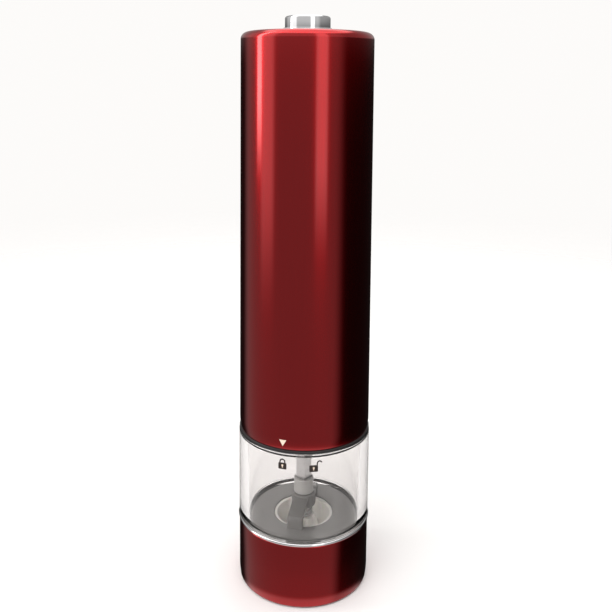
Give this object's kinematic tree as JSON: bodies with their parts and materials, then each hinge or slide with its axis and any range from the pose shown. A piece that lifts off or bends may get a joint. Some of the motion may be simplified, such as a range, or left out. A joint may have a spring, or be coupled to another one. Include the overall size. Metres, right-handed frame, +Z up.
{
  "type": "pepper mill",
  "caption": "Battery pepper mill: tall red steel tube with a push button on top, clear pepper chamber, ceramic burrs, fineness knob under the base",
  "frame": {"origin": "centre of the face that the mill stands on", "axes": "+Z up along the mill, the padlock marks face -Y, +X to the right"},
  "size_m": [0.0528, 0.0528, 0.225],
  "materials": {
    "red_lacquer": "clear-coated metallic red lacquer on brushed steel",
    "bright_chrome": "polished chrome",
    "clear_acrylic": "clear moulded acrylic",
    "black_plastic": "fine satin moulding",
    "grey_plastic": "glossy moulded plastic",
    "pale_plastic": "satin moulding",
    "dark_grey_plastic": "satin moulding",
    "burr_ceramic": "fine unglazed ceramic",
    "steel": "machined steel",
    "brass": "turned brass",
    "soft_rubber": "matte rubber",
    "cell_jacket": "printed cell jacket",
    "winding_copper": "enamelled copper on an iron core",
    "magnet": "sintered magnet",
    "gear_plastic": "natural gear plastic",
    "lead_cover": "wire insulation"
  },
  "bodies": {
    "grinder_base": {"base_sleeve": "red_lacquer", "base_frame": "dark_grey_plastic", "foot_ring": "soft_rubber", "trim_ring": "bright_chrome", "chamber": "clear_acrylic", "floor_seal": "soft_rubber", "burr_floor": "grey_plastic", "stator_burr": "burr_ceramic", "stator_clip": "steel", "bearing_bridge": "grey_plastic", "bridge_screws": "steel", "spindle_bush": "brass", "base_screws": "steel"},
    "adjuster": {"adjuster_knob": "dark_grey_plastic", "adjuster_screw": "steel"},
    "thrust_seat": {"thrust_nut": "brass", "thrust_ball": "steel"},
    "spindle": {"rotor_burr": "burr_ceramic", "spindle_shaft": "steel", "spindle_coupling": "pale_plastic", "rotor_spring": "steel"},
    "motor_unit": {"unit_base": "dark_grey_plastic", "housing_front": "dark_grey_plastic", "housing_back": "dark_grey_plastic", "housing_screws": "steel", "ring_gear": "gear_plastic", "gearbox_plate": "dark_grey_plastic", "output_bearing": "brass", "motor_can": "steel", "motor_magnets": "magnet", "motor_end_cap": "pale_plastic", "battery_tray": "black_plastic", "battery_1": "cell_jacket", "battery_2": "cell_jacket", "battery_3": "cell_jacket", "battery_4": "cell_jacket", "contact_springs": "steel", "contact_plates": "steel", "switch_body": "black_plastic", "motor_leads": "lead_cover"},
    "motor_rotor": {"armature": "winding_copper", "motor_shaft": "steel", "motor_pinion": "brass"},
    "carrier_stage_1": {"first_carrier": "steel"},
    "planet_body_1a": {"planet_1a": "gear_plastic"},
    "planet_body_1b": {"planet_1b": "gear_plastic"},
    "planet_body_1c": {"planet_1c": "gear_plastic"},
    "output": {"second_carrier": "steel", "drive_shaft": "steel"},
    "planet_body_2a": {"planet_2a": "gear_plastic"},
    "planet_body_2b": {"planet_2b": "gear_plastic"},
    "planet_body_2c": {"planet_2c": "gear_plastic"},
    "switch_pin": {"switch_plunger": "pale_plastic"},
    "collar": {"lock_collar": "black_plastic"},
    "sleeve": {"outer_sleeve": "red_lacquer", "button_bezel": "bright_chrome"},
    "button": {"push_button": "bright_chrome", "button_clip": "steel", "button_spring": "steel"}
  },
  "joints": [
    {"name": "unit_lift", "type": "slide", "parent": "grinder_base", "child": "motor_unit", "axis": [0, 0, 1], "range_m": [0, 0.06]},
    {"name": "sleeve_twist", "type": "hinge", "parent": "motor_unit", "child": "collar", "pos_m": [0, 0, 0.0616], "axis": [0, 0, 1], "range_deg": [0, 27]},
    {"name": "sleeve_pull", "type": "slide", "parent": "collar", "child": "sleeve", "axis": [0, 0, 1], "range_m": [0, 0.15]},
    {"name": "button_press", "type": "slide", "parent": "sleeve", "child": "button", "axis": [0, 0, -1], "range_m": [0, 0.002], "stiffness_N_per_m": 700, "springref_m": -0.001, "deforming": ["button_spring"]},
    {"name": "switch_press", "type": "slide", "parent": "motor_unit", "child": "switch_pin", "axis": [0, 0, -1], "range_m": [0, 0.002]},
    {"name": "motor_spin", "type": "hinge", "parent": "motor_unit", "child": "motor_rotor", "pos_m": [0, 0, 0.11], "axis": [0, 0, 1], "continuous": true},
    {"name": "carrier_1_spin", "type": "hinge", "parent": "motor_unit", "child": "carrier_stage_1", "pos_m": [0, 0, 0.09], "axis": [0, 0, 1], "continuous": true},
    {"name": "output_spin", "type": "hinge", "parent": "motor_unit", "child": "output", "pos_m": [0, 0, 0.07], "axis": [0, 0, 1], "continuous": true},
    {"name": "spindle_spin", "type": "hinge", "parent": "thrust_seat", "child": "spindle", "pos_m": [0, 0, 0.02], "axis": [0, 0, 1], "continuous": true},
    {"name": "adjuster_turn", "type": "hinge", "parent": "grinder_base", "child": "adjuster", "pos_m": [0, 0, 0.0025], "axis": [0, 0, -1], "range_deg": [0, 285]},
    {"name": "thrust_lift", "type": "slide", "parent": "grinder_base", "child": "thrust_seat", "axis": [0, 0, 1], "range_m": [0, 0.00079], "deforming": ["rotor_spring"]},
    {"name": "planet_1a_spin", "type": "hinge", "parent": "carrier_stage_1", "child": "planet_body_1a", "pos_m": [0.0075, 0, 0.094], "axis": [0, 0, 1], "continuous": true},
    {"name": "planet_1b_spin", "type": "hinge", "parent": "carrier_stage_1", "child": "planet_body_1b", "pos_m": [-0.00375, 0.0065, 0.094], "axis": [0, 0, 1], "continuous": true},
    {"name": "planet_1c_spin", "type": "hinge", "parent": "carrier_stage_1", "child": "planet_body_1c", "pos_m": [-0.00375, -0.0065, 0.094], "axis": [0, 0, 1], "continuous": true},
    {"name": "planet_2a_spin", "type": "hinge", "parent": "output", "child": "planet_body_2a", "pos_m": [0.0075, 0, 0.0856], "axis": [0, 0, 1], "continuous": true},
    {"name": "planet_2b_spin", "type": "hinge", "parent": "output", "child": "planet_body_2b", "pos_m": [-0.00375, 0.0065, 0.0856], "axis": [0, 0, 1], "continuous": true},
    {"name": "planet_2c_spin", "type": "hinge", "parent": "output", "child": "planet_body_2c", "pos_m": [-0.00375, -0.0065, 0.0856], "axis": [0, 0, 1], "continuous": true}
  ],
  "couplings": [
    {"joint": "switch_press", "follows": "button_press", "ratio": 1},
    {"joint": "carrier_1_spin", "follows": "motor_spin", "ratio": 0.2},
    {"joint": "output_spin", "follows": "motor_spin", "ratio": 0.04},
    {"joint": "spindle_spin", "follows": "motor_spin", "ratio": 0.04},
    {"joint": "adjuster_turn", "follows": "thrust_lift", "rad_per_m": 6283.2},
    {"joint": "planet_1a_spin", "follows": "motor_spin", "ratio": -0.53333},
    {"joint": "planet_1b_spin", "follows": "motor_spin", "ratio": -0.53333},
    {"joint": "planet_1c_spin", "follows": "motor_spin", "ratio": -0.53333},
    {"joint": "planet_2a_spin", "follows": "motor_spin", "ratio": -0.10667},
    {"joint": "planet_2b_spin", "follows": "motor_spin", "ratio": -0.10667},
    {"joint": "planet_2c_spin", "follows": "motor_spin", "ratio": -0.10667}
  ]
}
